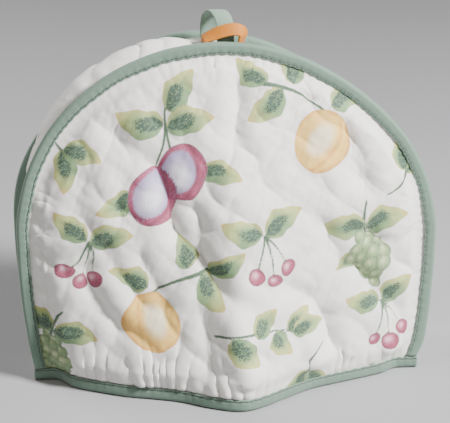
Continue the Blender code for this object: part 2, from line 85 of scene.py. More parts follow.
Seam = namedtuple("Seam", "rise centre lean floor_depth top_depth right_foot shoulders")
FRONT = Seam(0.139, 0.0, 0.003, -0.028, -0.022, -0.01,
             ((0, 1.0), (28, 0.985), (52, 0.97), (72, 0.985), (92, 1.0), (180, 1.0)))
BACK = Seam(0.1365, -0.0035, 0.003, 0.025, 0.021, 0.0,
            ((0, 1.0), (30, 0.965), (58, 0.93), (80, 0.975), (98, 1.0), (120, 0.985), (145, 0.965),
             (165, 0.99), (180, 1.0)))
TOP = SPRING + FRONT.rise

FRONT_BOW = ((-1.0, 0.0), (-0.87, 0.014), (-0.72, 0.0235), (-0.57, 0.031), (-0.43, 0.0355), (-0.28, 0.0415),
             (-0.13, 0.0515), (0.04, 0.057), (0.15, 0.051), (0.27, 0.041), (0.43, 0.0285), (0.6, 0.0205),
             (0.78, 0.0125), (0.92, 0.0055), (1.0, 0.0))
BACK_BOW = ((-1.0, 0.0), (-0.8, 0.013), (-0.5, 0.031), (-0.2, 0.037), (0.1, 0.041), (0.35, 0.037),
            (0.6, 0.027), (0.85, 0.01), (1.0, 0.0))
BOW_FADE = 1.1

# A fold runs from x0, z0 to x1, z1 on the panel. Its rise is below 0 where the cloth sinks in.
Fold = namedtuple("Fold", "x0 z0 x1 z1 width rise")
FRONT_FOLDS = [Fold(*row) for row in (
    (0.006, 0.24, 0.004, 0.184, 0.008, -0.0055), (-0.05, 0.158, -0.038, 0.118, 0.009, -0.0052),
    (-0.038, 0.118, -0.022, 0.082, 0.0094, -0.005), (-0.023, 0.134, -0.02, 0.1, 0.0078, -0.0046),
    (-0.02, 0.1, -0.004, 0.07, 0.0078, -0.0052), (-0.003, 0.066, 0.006, 0.02, 0.0078, 0.0052),
    (-0.02, 0.062, -0.014, 0.02, 0.0078, -0.0046), (-0.102, 0.092, -0.08, 0.05, 0.0076, -0.004),
    (-0.086, 0.105, -0.066, 0.07, 0.0076, -0.004), (-0.062, 0.1, -0.046, 0.066, 0.0076, -0.0036),
    (0.043, 0.228, 0.054, 0.203, 0.0066, -0.0032), (0.08, 0.186, 0.091, 0.146, 0.0088, -0.0042),
    (0.064, 0.118, 0.076, 0.086, 0.0084, -0.004), (0.082, 0.112, 0.104, 0.102, 0.0062, -0.003),
    (0.034, 0.08, 0.05, 0.068, 0.0086, -0.0036), (0.05, 0.068, 0.061, 0.049, 0.0088, -0.0042),
    (0.061, 0.049, 0.067, 0.034, 0.0084, -0.004), (0.067, 0.034, 0.077, 0.012, 0.0078, -0.0052),
    (0.051, 0.032, 0.06, 0.014, 0.0068, 0.003), (0.088, 0.08, 0.118, 0.05, 0.008, -0.0042),
    (-0.095, 0.19, -0.06, 0.17, 0.0102, -0.0033),
)]
# Small ridges that run in from the left tape
LEFT_RIDGES = [Fold(*row) for row in (
    (-0.1395, 0.142, -0.127, 0.131, 0.0042, 0.0018), (-0.14, 0.121, -0.127, 0.109, 0.0046, 0.0024),
    (-0.14, 0.0965, -0.13, 0.088, 0.0048, 0.0028), (-0.13, 0.088, -0.124, 0.0868, 0.005, 0.001),
    (-0.14, 0.0765, -0.131, 0.068, 0.0048, 0.003), (-0.131, 0.068, -0.123, 0.0687, 0.0052, 0.0013),
    (-0.139, 0.057, -0.13, 0.048, 0.0048, 0.003), (-0.13, 0.048, -0.118, 0.045, 0.0054, 0.0018),
    (-0.137, 0.037, -0.125, 0.029, 0.0046, 0.0024),
)]
BACK_FOLDS = [Fold(*row) for row in (
    (-0.05, 0.17, -0.03, 0.08, 0.012, -0.005), (0.045, 0.16, 0.03, 0.06, 0.012, -0.005),
    (0, 0.11, 0.006, 0.02, 0.012, 0.004), (0.085, 0.12, 0.07, 0.04, 0.012, -0.004),
)]

# Small folds beside the tapes: length along the seam or place along the hem, and how far they stand out
SEAM_GATHERS = ((0, 0.0006), (0.03, 0.0013), (0.07, 0.0013), (0.105, 0.0007), (0.24, 0.001), (0.3, 0.0014),
                (0.35, 0.0012), (0.4, 0.0006), (0.5, 0.0006), (0.56, 0.0016), (0.62, 0.0022),
                (0.68, 0.002))
HEM_GATHERS = ((-0.15, 0.002), (-0.1, 0.0034), (-0.08, 0.0046), (-0.03, 0.0048), (0.0, 0.0042),
               (0.02, 0.002), (0.05, 0.0014), (0.08, 0.0014), (0.1, 0.0017), (0.13, 0.0017),
               (0.15, 0.0012))
HEM_PLEAT = 0.0078

# How far the gusset's middle stands out from the seams' line, from the left foot (-1) to the right foot (2)
GUSSET_CREST = ((-1.0, -0.021), (-0.6, -0.023), (-0.25, -0.018), (0.05, -0.01), (0.2, 0.0), (0.3, 0.0025),
                (0.41, 0.0), (0.49, -0.007), (0.6, -0.0115), (0.8, -0.0145), (0.95, -0.018), (1.3, -0.023),
                (2.0, -0.021))
# The gusset's first lines from its edge: line, distance behind the seam's plane, distance inside the tape
GUSSET_EDGE = ((0, GAP / 2, EDGE_INSETS[0]), (1, GAP / 2, EDGE_INSETS[1]), (2, 0.0016, 0.0128),
               (3, 0.0055, 0.015))
GUSSET_LINES = 14

# Loops
HANG_WIDTH = 0.0115
HANG_CREST = 0.2606
HANG_MIDDLE = -0.006
HANG_SKEW = -0.5
HANG_FRONT = 0.0085
HANG_BACK = 0.0275
RIBBON_WIDTH = 0.0085
RIBBON_LENGTH = 0.034
# The strap from end to end: share of its length, x, height, and how steeply it leans in degrees
RIBBON_PATH = ((0.0, -0.0168, 0.244, 22), (0.2, -0.0105, 0.247, 44), (0.4, -0.0025, 0.25, 60),
               (0.6, 0.005, 0.251, 60), (0.78, 0.0098, 0.249, 50), (0.9, 0.0108, 0.2465, 38),
               (1.0, 0.0092, 0.2435, 34))
RIBBON_CLEAR = 0.0029

# Mesh lines of the fine cloth
PANEL_GRIDS = {"front": (248, 68, 128), "back": (200, 58, 112)}
GUSSET_GRID = (420, 64)
HEM_MESH_STEP = 0.0011

# From the measures above to the frame, by the front seam's tape
tape_low, tape_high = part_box("front_binding")
SHIFT = np.array(((tape_low[0] + tape_high[0]) / 2, tape_high[1] - (FRONT.top_depth + TAPE_HALF), 0.0))


def follow(rows, at):
    """Values of a table at places of its first column, on a smooth curve through its rows."""
    places, *columns = np.array(rows, dtype=float).T
    at = np.clip(at, places[0], places[-1])
    left = np.clip(np.searchsorted(places, at, side="right") - 1, 0, len(places) - 2)
    span = places[left + 1] - places[left]
    t = (at - places[left]) / span
    rest = 1 - t
    found = []
    for values in columns:
        slopes = np.gradient(values, places)
        found.append(values[left] * (1 + 2 * t) * rest ** 2 + values[left + 1] * t ** 2 * (3 - 2 * t)
                     + span * t * rest * (slopes[left] * rest - slopes[left + 1] * t))
    return found if len(found) > 1 else found[0]


def ease(value):
    """Smooth step from 0 to 1 as the value goes from 0 to 1."""
    value = np.clip(value, 0.0, 1.0)
    return value * value * (3 - 2 * value)


def ripple(x, z, size, seed):
    """Soft uneven waves of a size, from about -1 to 1."""
    draw = np.random.default_rng(seed)
    total = np.zeros_like(x)
    for _ in range(7):
        turn = draw.uniform(0, 2 * pi)
        pitch = size * draw.uniform(0.7, 1.5)
        total += np.sin(2 * pi * (x * cos(turn) + z * sin(turn)) / pitch + draw.uniform(0, 2 * pi))
    return total / 3.2


def lift(z):
    """Height above the hem's tape."""
    return np.maximum(z - CLEAR_OF_HEM, 0.0)


def half_width(z, side):
    """Half width of the straight sides, on the left (side below 0) or the right."""
    curl = RIGHT_CURL * np.clip(1 - lift(z) / RIGHT_CURL_HEIGHT, 0, 1) ** 2
    return HALF_WIDTH - FOOT_TUCK * np.clip(1 - lift(z) / FOOT_TUCK_HEIGHT, 0, 1) ** 2 - curl * (side > 0)


def seam_depth(seam, x, z):
    """Depth (y) of a seam's middle plane."""
    high = ease((z - SPRING) / seam.rise)
    low = np.clip(1 - lift(z) / SPRING, 0, 1) ** 2
    foot = seam.right_foot * low * np.clip(0.5 + x / (2 * HALF_WIDTH), 0, 1)
    return seam.floor_depth + (seam.top_depth - seam.floor_depth) * high + foot


def outline(seam, way):
    """x and z of the tape's outer edge, from the left foot (-1) over the arch (0 to 1) to the right foot."""
    angle = pi * (1 - np.clip(way, 0, 1))
    share = follow(seam.shoulders, np.degrees(angle))
    arch_x = HALF_WIDTH * np.cos(angle) * share - seam.lean * np.sin(angle)
    arch_z = SPRING + seam.rise * np.sin(angle) * share
    leg_z = SPRING * np.where(way < 0, 1 + way, 2 - way)
    leg_x = np.where(way < 0, -1, 1) * half_width(leg_z, way)
    on_leg = (way < 0) | (way > 1)
    return seam.centre + np.where(on_leg, leg_x, arch_x), np.where(on_leg, leg_z, arch_z)


def seam_line(seam, way, inset):
    """x and z of a line that keeps its distance inside the tape's outer edge, and the outward normal.

    Near the foot the normal is level, so that the cloth enters the hem's tape upright.
    """
    step = 0.006
    x, z = outline(seam, way)
    ahead_x, ahead_z = outline(seam, way + step)
    behind_x, behind_z = outline(seam, way - step)
    run_x, run_z = (ahead_x - behind_x) * ease(lift(z) / LEVEL_FOOT), ahead_z - behind_z
    length = np.hypot(run_x, run_z)
    out_x, out_z = -run_z / length, run_x / length
    return x - out_x * inset, z - out_z * inset, out_x, out_z


def half_disc(u, v):
    """Square (u from -1 to 1, v from 0 to 1) to the upper half of a disc, with even cells."""
    oval_x, oval_z = u * np.sqrt(1 - v * v / 2), v * np.sqrt(1 - u * u / 2)
    wide = np.abs(u) >= v
    size = np.where(wide, np.abs(u), v)
    turn = pi / 4 * np.where(wide, v, u) / np.where(size == 0, 1, size)
    ring_x = np.where(wide, np.sign(u) * size * np.cos(turn), size * np.sin(turn))
    ring_z = np.where(wide, size * np.sin(turn), size * np.cos(turn))
    return (oval_x + ring_x) / 2, (oval_z + ring_z) / 2


def panel_plan(seam, col, row, columns, low_rows, high_rows):
    """Flat x and z of a panel's grid points. The outer rings follow the tape, the lower rows the hem."""
    rows = low_rows + high_rows
    ring = np.minimum(np.minimum(col, columns - col), rows - row)
    ring = np.minimum(ring, 8).astype(int)
    inset = np.interp(ring, (0, 6, 8), EDGE_INSETS)
    u = np.clip((2 * col / columns - 1) * columns / (columns - 2 * ring), -1, 1)
    start = CLEAR_OF_HEM
    even = start + (SPRING - start) * (row - 5) / (low_rows - 5)
    low_z = np.where(row < 5, CLOTH_BOTTOM + (start - CLOTH_BOTTOM) * row / 5, even)
    low_x = u * (half_width(low_z, u) - inset)
    across, up = half_disc(u, np.clip((row - low_rows) / (high_rows - ring), 0, 1))
    share = follow(seam.shoulders, np.degrees(np.arctan2(up, across)))
    share = 1 - (1 - share) * np.hypot(across, up)
    arch_x = across * (HALF_WIDTH - inset) * share - seam.lean * up
    arch_z = SPRING + up * (seam.rise - inset) * share
    low = row <= low_rows
    return seam.centre + np.where(low, low_x, arch_x), np.where(low, low_z, arch_z)


def edge_distance(seam, x, z):
    """Distance inside the line where the tape ends on the cloth."""
    rise = np.maximum(z - SPRING, 0)
    side = x - seam.centre + seam.lean * rise / seam.rise
    share = follow(seam.shoulders, np.degrees(np.arctan2(rise / seam.rise, side / HALF_WIDTH)))
    reach = np.hypot(side / HALF_WIDTH, rise / seam.rise) / share
    inside = np.where(z > SPRING, (1 - reach) * HALF_WIDTH, half_width(z, side) - np.abs(side))
    return inside - EDGE_INSETS[1]


def seam_travel(seam, x, z):
    """Length along the seam, from the right foot, of the nearest point of the seam."""
    rise = z - SPRING
    angle = np.arctan2(np.maximum(rise, 0) / seam.rise, (x - seam.centre) / HALF_WIDTH)
    legs = np.where(x > seam.centre, z, 2 * SPRING + pi * HALF_WIDTH - z)
    return np.where(rise > 0, SPRING + angle * HALF_WIDTH, legs)


def quilting(x, z):
    """Puffs of the quilting, from 0 on a stitched line to 1 at the top of a puff."""
    x = x + 0.0055 * ripple(x, z, 0.075, 3)
    z = z + 0.0055 * ripple(x, z, 0.075, 4)
    swayed = x + PUFF_SWAY * np.sin(2 * pi * z / PUFF_HEIGHT)
    one = np.sin(pi * (swayed / PUFF_WIDTH + z / PUFF_HEIGHT))
    other = np.sin(pi * (swayed / PUFF_WIDTH - z / PUFF_HEIGHT))
    return np.sqrt(np.abs(one * other) + 0.002)


def loft(seam, x, z):
    """Thickness of a panel's cloth, with its soft puffs."""
    room = np.minimum(edge_distance(seam, x, z), z - CLEAR_OF_HEM)
    share = 0.50 + 0.30 * ripple(x, z, 0.09, 5)
    full = LOFT_LOW + (LOFT_HIGH - LOFT_LOW) * (1 + share * (quilting(x, z) - 1))
    full += 0.00025 * ripple(x, z, 0.013, 9) + 0.00012 * ripple(x, z, 0.006, 10)
    return CLOTH_EDGE + (full - CLOTH_EDGE) * ease(room / LOFT_START)


def pleats(turns, away, fall):
    """Rows of round pleats that fade with the distance from their seam, from 0 to about 1."""
    return np.sqrt(np.sin(pi * turns) ** 2 + 0.02) * np.exp(-away ** fall)


def gathers(seam, x, z):
    """How far a panel's cloth stands out in the small folds that start at its tapes."""
    edge = np.maximum(edge_distance(seam, x, z), 0)
    up = lift(z)
    travel = seam_travel(seam, x, z)
    turns = np.interp(travel, (0, 0.105, 0.55, 0.68), (0, 10.5, 67.5, 84.5))
    turns += 0.45 * ripple(travel, 0, 0.05, 6)
    reach = 0.010 + 0.003 * ripple(travel, 0, 0.017, 51) - 0.002 * ease((travel - 0.55) / 0.03)
    height = follow(SEAM_GATHERS, travel) * (0.75 + 0.4 * ripple(travel, 0, 0.03, 52))
    beside_seam = np.maximum(pleats(turns, edge / reach, 1.3) * height * ease(edge / 0.003), 0)
    turns = x / HEM_PLEAT + 0.8 * ripple(x, 0, 0.045, 7) + 16 * up * ripple(x, 0, 0.04, 53)
    reach = np.maximum(0.015 + 0.008 * ripple(x, 0, 0.018, 54), 0.005)
    height = follow(HEM_GATHERS, x) * np.maximum(0.70 + 0.55 * ripple(x, 0, 0.024, 55), 0.12)
    over_hem = np.maximum(pleats(turns, up / reach, 1.4) * height * ease(up / 0.0018), 0)
    ridges = 0
    for fold in LEFT_RIDGES:
        ridges = np.maximum(ridges, fold_rise((fold,), x, z))
    return (beside_seam * ease(up / 0.01) + over_hem * ease(edge / 0.01)
            + ridges * ease(edge / 0.004) * ease(up / 0.008))


def fold_rise(folds, x, z):
    """Sum of the folds at a point of a panel."""
    total = np.zeros_like(x)
    for fold in folds:
        run_x, run_z = fold.x1 - fold.x0, fold.z1 - fold.z0
        along = ((x - fold.x0) * run_x + (z - fold.z0) * run_z) / (run_x ** 2 + run_z ** 2)
        held = np.clip(along, 0, 1)
        away = np.hypot(x - fold.x0 - held * run_x, z - fold.z0 - held * run_z)
        total += fold.rise * np.exp(-(away / fold.width) ** 2)
    return total


def panel_bulge(seam, bow_rows, folds, x, z):
    """How far a panel's inner face stands out from its seam's plane."""
    edge = edge_distance(seam, x, z)
    flat_half = np.where(z > SPRING,
                         HALF_WIDTH * np.sqrt(np.clip(1 - ((z - SPRING) / seam.rise) ** 2, 0.01, 1)),
                         half_width(z, x - seam.centre))
    across = np.clip((x - seam.centre) / (flat_half - EDGE_INSETS[-1]), -1, 1)
    left = np.clip(1 - lift(z) / (TOP - CLEAR_OF_HEM), 0, 1) ** BOW_FADE
    bow = follow(bow_rows, across) * left * ease(edge / 0.02)
    near_edge = ease(edge / 0.025) * ease(lift(z) / 0.02)
    soft = 0.0012 * ripple(x, z, 0.034, 17) + 0.0006 * ripple(x, z, 0.019, 18)
    return bow + (fold_rise(folds, x, z) + soft) * near_edge


def on_leg_at(way, height):
    """A place along the seam, moved to a height where it is on a leg."""
    share = height / SPRING
    return np.where(way < 0, share - 1, np.where(way > 1, 2 - share, way))


def gusset_surface(way, line):
    """The gusset from a place along the seam and a line across it (0 to 14).

    Gives the x, y and z of its inner face, its thickness, and the place on the flat cut.
    """
    from_edge = np.minimum(line, GUSSET_LINES - line)
    offset, inset = follow(GUSSET_EDGE, from_edge)
    offset = np.maximum(offset, GAP / 2)
    across = np.clip((line - 3) / (GUSSET_LINES - 6), 0, 1)
    on_leg = (way < 0) | (way > 1)
    height = np.where(way < 0, 1 + way, 2 - way) * SPRING
    raised = FLANGE_BOTTOM + (height - CLOTH_BOTTOM) * (SPRING - FLANGE_BOTTOM) / (SPRING - CLOTH_BOTTOM)
    height = height + (raised - height) * ease(3 - from_edge)
    way = on_leg_at(way, height)
    sides = []
    for seam, facing in ((FRONT, 1), (BACK, -1)):
        x, z, out_x, out_z = seam_line(seam, way, inset)
        sides.append(np.array((x, seam_depth(seam, x, z) + facing * offset, z, out_x, out_z)))
    x, y, z, out_x, out_z = sides[0] + (sides[1] - sides[0]) * across
    crest_way = on_leg_at(way, np.maximum(height, CLEAR_OF_HEM))
    travel = way * (HALF_WIDTH * pi) + 0.02
    middle = 1 - (2 * across - 1) ** 2
    rise = (follow(GUSSET_CREST, crest_way) + GUSSET_EDGE[-1][2]) * middle ** 0.8
    turns = travel / 0.024 + 0.5 * ripple(travel, across * 0.05, 0.07, 12) + 0.4 * across
    valley = 1 - np.sqrt(np.sin(pi * turns) ** 2 + 0.01)
    uneven = np.clip(0.6 + 0.5 * ripple(travel, across * 0.06, 0.06, 13), 0, 1)
    creases = 0.0006 * ripple(travel, line * 0.004, 0.075, 14) * middle - (
        0.0022 * valley ** 2 * middle ** 0.5 * uneven)
    rise += creases * np.where(on_leg, ease((height - CLEAR_OF_HEM) / 0.02), 1)
    full = LOFT_LOW + (GUSSET_LOFT - LOFT_LOW) * (0.4 + 0.6 * quilting(y, travel))
    full += 0.0002 * ripple(travel, y, 0.012, 15)
    gather = np.abs(np.sin(pi * travel / 0.0095 + ripple(travel, 0, 0.05, 16)))
    full += 0.0011 * gather * np.exp(-np.maximum(from_edge - 2, 0) / 1.3)
    swell = np.interp(from_edge, (0, 1, 2, 3, 4), (0, 0, 0, 0.6, 1.0))
    swell = np.minimum(swell, np.where(on_leg, ease((height - CLEAR_OF_HEM) / LOFT_START), 1))
    return (x + rise * out_x, y, z + rise * out_z), CLOTH_EDGE + (full - CLOTH_EDGE) * swell, (travel, y)


def add_sheet(name, columns, rows, shape, materials, thickness, offset=1, turned=False):
    """A sheet of cloth: a primitive grid moved to the cloth's inner face and thickened outwards.

    The shape takes the column and row of each grid point. It gives their x, y and z, the local
    thickness, and the flat place on the cut cloth, which becomes the UV map in metres.
    """
    bpy.ops.mesh.primitive_grid_add(x_subdivisions=columns, y_subdivisions=rows, size=2)
    piece = bpy.context.object
    piece.name = name
    mesh = piece.data
    mesh.name = name
    row, col = np.divmod(np.arange(float(len(mesh.vertices))), columns + 1)
    points, depth, flat = shape(col, row)
    points = np.column_stack(points) + SHIFT
    mesh.vertices.foreach_set("co", points.astype(np.float32).ravel())
    mesh.update()
    corner_points = np.empty(len(mesh.loops), dtype=np.int64)
    mesh.loops.foreach_get("vertex_index", corner_points)
    flat = np.column_stack(flat)[corner_points]
    mesh.uv_layers[0].data.foreach_set("uv", flat.astype(np.float32).ravel())
    mesh.uv_layers[0].name = "flat_cut"
    for made in materials:
        mesh.materials.append(made)
    solidify = piece.modifiers.new("cloth", "SOLIDIFY")
    solidify.thickness = thickness
    solidify.offset = offset
    solidify.material_offset = len(materials) - 1
    if depth is not None:
        weights = piece.vertex_groups.new(name="loft")
        for index, value in enumerate(np.clip(depth / thickness, 0, 1)):
            weights.add([index], value, "REPLACE")
        solidify.vertex_group = "loft"
        solidify.thickness_vertex_group = 0
    if turned:
        mesh.flip_normals()
    bpy.ops.object.modifier_apply(modifier="cloth")
    piece.vertex_groups.clear()
    bpy.ops.object.shade_smooth()
    piece.select_set(False)
    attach(piece, "root")
    return piece


INK_DEPTH = 1.38
FAR_OUTSIDE = -6.0          # millimetres, for cloth with no motif near


def printed_ink(red, green, blue):
    """A colour of the eye's scale (0 to 255) as linear light, deepened for the bright studio light."""
    return ((np.array((red, green, blue)) / 255 + 0.055) / 1.055) ** (2.4 * INK_DEPTH)


LEAF_GREEN = printed_ink(142, 170, 126)
LEAF_YELLOW = printed_ink(196, 202, 142)
LEAF_OCHRE = printed_ink(218, 190, 120)
LEAF_DARK = printed_ink(46, 96, 78)
STEM_GREEN = printed_ink(92, 124, 90)
PLUM_RIM = printed_ink(182, 82, 120)
PLUM_LINE = printed_ink(118, 44, 82)
PLUM_BLOOM = printed_ink(178, 168, 200)
PLUM_LIGHT = printed_ink(228, 224, 232)
GOLD_RIM = printed_ink(216, 164, 78)
GOLD = printed_ink(238, 204, 122)
GOLD_PALE = printed_ink(240, 230, 204)

# Look of a cherry or a berry: three inks, size and strength of the light spot, share of the uneven wash,
# start and strength of the dark edge, grains, and how far the spot clears them
Bead = namedtuple("Bead", "body light dark spot_size spot wash edge_start edge grains clear")
CHERRY = Bead(printed_ink(184, 88, 122), printed_ink(238, 198, 212), printed_ink(134, 48, 84),
              0.12, 1.1, 0, 0.74, 0.8, 0.35, 1)
BERRY = Bead(printed_ink(152, 174, 128), printed_ink(204, 212, 172), printed_ink(70, 106, 80),
             0.14, 1, 0.25, 0.72, 0.6, 0.25, 0.5)


def blend(first, second, share):
    """A mix of two colours, point by point."""
    return first + (second - first) * np.clip(share, 0, 1)[:, None]


class Print:
    """Printed motifs on a cut piece of cloth.

    At each point it keeps a smooth ink, a second ink for the fine grains over it, how thick these
    grains lie, and how far inside a motif the point is. Places and lengths are in millimetres.
    """

    def __init__(self, x, z, seed):
        self.x, self.z = x, z
        self.inside = np.full(len(x), FAR_OUTSIDE)
        self.ink = np.tile(LEAF_GREEN, (len(x), 1))
        self.grain_ink = np.tile(LEAF_DARK, (len(x), 1))
        self.grain = np.zeros(len(x))
        self.wash = ripple(x, z, 16, seed)
        self.frame = (0.0, 0.0, 0.0, 1, 1.0)

    def sprig(self, kind, x, z, turn, flip, scale):
        """Draws a sprig at a place, turned by degrees, flipped left to right where flip is -1, and scaled."""
        self.frame = (x, z, radians(turn), flip, scale)
        getattr(self, kind + "_sprig")()

    def local(self, x, z, turn):
        """Places of the cloth's points along and beside an axis that starts at a point of the sprig."""
        cx, cz, base, flip, scale = self.frame
        x, turn = x * flip * scale, radians(turn if flip > 0 else 180 - turn) + base
        px = cx + x * cos(base) - z * scale * sin(base)
        pz = cz + x * sin(base) + z * scale * cos(base)
        dx, dz = self.x - px, self.z - pz
        along = dx * cos(turn) + dz * sin(turn)
        beside = -dx * sin(turn) + dz * cos(turn)
        return along / scale, beside * flip / scale

    def press(self, inside, ink, grain_ink, grain, over=True):
        """Prints a motif over what is there, and bleeds its inks a little past its edge."""
        inside = inside * self.frame[4]
        take = (inside > 0) if over else (inside > 0) & (self.inside < 0)
        take |= inside > self.inside
        for kept, new in ((self.ink, ink), (self.grain_ink, grain_ink), (self.grain, grain)):
            kept[take] = np.broadcast_to(new, kept.shape)[take]
        self.inside = np.maximum(self.inside, inside)

    def stem(self, x, z, turn, length, bend=0.0, width=0.75):
        """A thin bent stem, thicker at its foot."""
        along, beside = self.local(x, z, turn)
        t = np.clip(along / length, 0, 1)
        away = np.hypot(along - t * length, beside - bend * length * 4 * t * (1 - t))
        self.press(width * (1.25 - 0.5 * t) - away, STEM_GREEN, LEAF_DARK, 0.35, over=False)

    def leaf(self, x, z, turn, length, width, bend=0.07, warm_side=1, dark=1.0):
        """A broad pointed leaf: pale green, yellowish at its tip, with a dark veined heart."""
        along, beside = self.local(x, z, turn)
        t = np.clip(along / length, 0, 1)
        beside = beside - bend * length * 4 * t * (1 - t)
        half = width / 2 * np.sin(pi * t ** 0.70) ** 0.8 + 0.02
        half *= 1 + 0.09 * np.sin(t * 15 + 1.5 * np.sign(beside)) * ease((t - 0.15) / 0.2)
        inside = (half - np.abs(beside)) * 0.85
        beyond = np.hypot(along - t * length, beside)
        inside = np.where((along < 0) | (along > length), -beyond, inside)
        across = beside / np.maximum(half, 0.3)
        warm = ease((t - 0.40) / 0.5) + 0.6 * ease((across * warm_side - 0.1) / 0.8) + 0.25 * self.wash
        ochre = ease((t - 0.80) / 0.18) * 0.7 + ease((across * warm_side - 0.72) / 0.3) * 0.5
        ink = blend(blend(LEAF_GREEN, LEAF_YELLOW, warm), LEAF_OCHRE, ochre)
        heart = ease((0.70 - np.hypot((t - 0.26) / 0.95, across * 0.62) * 1.55 + 0.10 * self.wash) / 0.30)
        vein = np.exp(-((np.mod(along - 0.8 * np.abs(beside) + 1.6, 3.2) - 1.6) / 0.55) ** 2)
        rib = np.exp(-(beside / 0.5) ** 2)
        heart *= (1 - 0.40 * np.maximum(vein, rib)) * dark
        line = rib * ease((0.9 - t) / 0.3) * 0.35
        self.press(inside, blend(ink, LEAF_DARK, 0.30 * heart + line * (1 - heart)), LEAF_DARK,
                   np.clip(heart * 0.80, 0, 0.85))

    def leaves(self, *rows):
        """Leaves from rows of x, z, turn, length and width, warm on their upper side."""
        for x, z, turn, length, width in rows:
            self.leaf(x, z, turn, length, width, warm_side=1 if turn < 90 else -1)

    def round_fruit(self, x, z, turn, long_half, short_half):
        """How far inside a round fruit, its share of the radius, and the places along and beside its axis."""
        along, beside = self.local(x, z, turn)
        reach = np.hypot(along / long_half, beside / short_half)
        return (1 - reach) * short_half, reach, along / long_half, beside / short_half

    def plum(self, x, z, turn, size):
        """A plum: a wine-red rim, a wide pale bloom in fine grains and a groove."""
        inside, reach, along, beside = self.round_fruit(x, z, turn, size * 1.20, size)
        light = np.exp(-((along + 0.15) ** 2 / 0.22 + (beside - 0.16) ** 2 / 0.12))
        bloom_ink = blend(PLUM_BLOOM, PLUM_LIGHT, light * 1.2)
        bloom = ease((0.80 - np.hypot(along, (beside - 0.14) * 1.18)) / 0.16)
        groove = np.exp(-((beside + 0.55 - 0.45 * along ** 2) / 0.09) ** 2) * (reach < 0.97)
        ink = blend(PLUM_RIM, bloom_ink, 0.80 * bloom)
        ink = blend(ink, PLUM_LINE, ease((reach - 0.92) / 0.07) * 0.65 + 0.55 * groove)
        self.press(inside, ink, bloom_ink, np.clip(0.22 + 0.60 * bloom - 0.5 * groove, 0, 0.85))

    def apricot(self, x, z, turn, size):
        """An apricot: a soft golden ring, a pale middle and a crease."""
        inside, reach, along, beside = self.round_fruit(x, z, turn, size * 1.05, size)
        pale = ease((0.66 - np.hypot(along * 0.9, (beside - 0.10) * 1.35)) / 0.40)
        ink = blend(GOLD, GOLD_PALE, pale)
        crease = np.exp(-((beside + 0.46 - 0.40 * along ** 2) / 0.08) ** 2) * (along < 0.8)
        shade = ease((reach - 0.86 + 0.05 * self.wash) / 0.12) * 0.55
        shade += 0.45 * crease + 0.25 * ease((-beside - 0.5) / 0.3) * (1 - pale)
        grain = np.clip(0.10 * (1 - pale) + 0.3 * crease, 0, 0.5)
        self.press(inside, blend(ink, GOLD_RIM, shade), GOLD_RIM, grain)

    def bead(self, look, x, z, size=4.7):
        """A cherry or a berry: small and round, with a light spot and a dark edge."""
        inside, reach, along, beside = self.round_fruit(x, z, 0, size, size)
        spot = np.exp(-((along + 0.2) ** 2 + (beside - 0.25) ** 2) / look.spot_size)
        ink = blend(look.body, look.light, spot * look.spot + look.wash * self.wash)
        ink = blend(ink, look.dark, ease((reach - look.edge_start) / (0.96 - look.edge_start)) * look.edge)
        self.press(inside, ink, look.dark, np.clip(look.grains - look.clear * spot, 0, 1))

    def plum_sprig(self):
        """Two plums under a fan of leaves."""
        self.stem(6, 29, 246, 28, 0.05)
        self.stem(6, 29, 282, 22, -0.05)
        self.stem(6, 28, 70, 18, 0.08)
        self.leaves((5, 30, 158, 26, 15), (10, 37, 52, 25, 15), (7, 28, 4, 26, 15), (21, 4, -24, 22, 13),
                    (-18, -4, 202, 22, 13))
        self.plum(12, 4, 76, 12.5)
        self.plum(-6, -7, 62, 13.5)

    def apricot_sprig(self):
        """An apricot that hangs from a branch with leaves."""
        self.stem(-36, 16, -14, 48, 0.08, 0.9)
        self.leaves((-33, 17, 152, 21, 13), (-18, 19, 84, 23, 14), (-24, 15, 238, 24, 14),
                    (6, 12, 30, 24, 14))
        self.apricot(6, -8, 74, 16.5)

    def cherry_sprig(self):
        """Three hanging cherries on thin stems under a pair of leaves."""
        for index in range(3):
            self.stem(0, 8, 244 + index * 24, 20 + 3 * (index % 2), 0.05, 0.6)
        self.leaves((1, 8, 20, 25, 15), (-1, 9, 150, 23, 14))
        for index in range(3):
            lean = radians(244 + index * 24)
            reach = 23 + 3 * (index % 2)
            self.bead(CHERRY, reach * cos(lean), 8 + reach * sin(lean))

    def berry_sprig(self):
        """A hanging bunch of green berries with leaves."""
        self.stem(0, 10, 84, 22, 0.06, 0.9)
        self.leaves((1, 18, 4, 25, 15), (0, 20, 170, 25, 15), (-7, 4, 212, 18, 11))
        bunch = ((2, -4.4), (3, -8), (4, -9.8), (3, -5.8), (2, -3), (1, 1))
        for row, (count, start) in enumerate(bunch):
            for index in range(count):
                self.bead(BERRY, start + 6.6 * index + 1.2 * (row % 2),
                          12 - 5.8 * row - 1.3 * ((index + row) % 2), 4 + 0.25 * ((index + 2 * row) % 3))

    def leaf_sprig(self):
        """A curved twig with leaves on both sides."""
        self.stem(-24, 0, 4, 46, 0.07, 0.8)
        for index in range(4):
            side = 1 if index % 2 else -1
            self.leaf(-15 + 11 * index, 1.5 + 0.7 * index, 4 + side * (54 - 4 * index), 22 - 1.5 * index,
                      12.5, 0.05 * side, side, 0.9)
        self.leaf(21, 3, 10, 20, 12)

    def pair_sprig(self):
        """Two leaves on a short bent stem."""
        self.stem(2, 2, 28, 18, 0.12, 0.8)
        self.leaf(2, 2, 188, 26, 15, warm_side=-1)
        self.leaf(3, 1, 256, 24, 14)


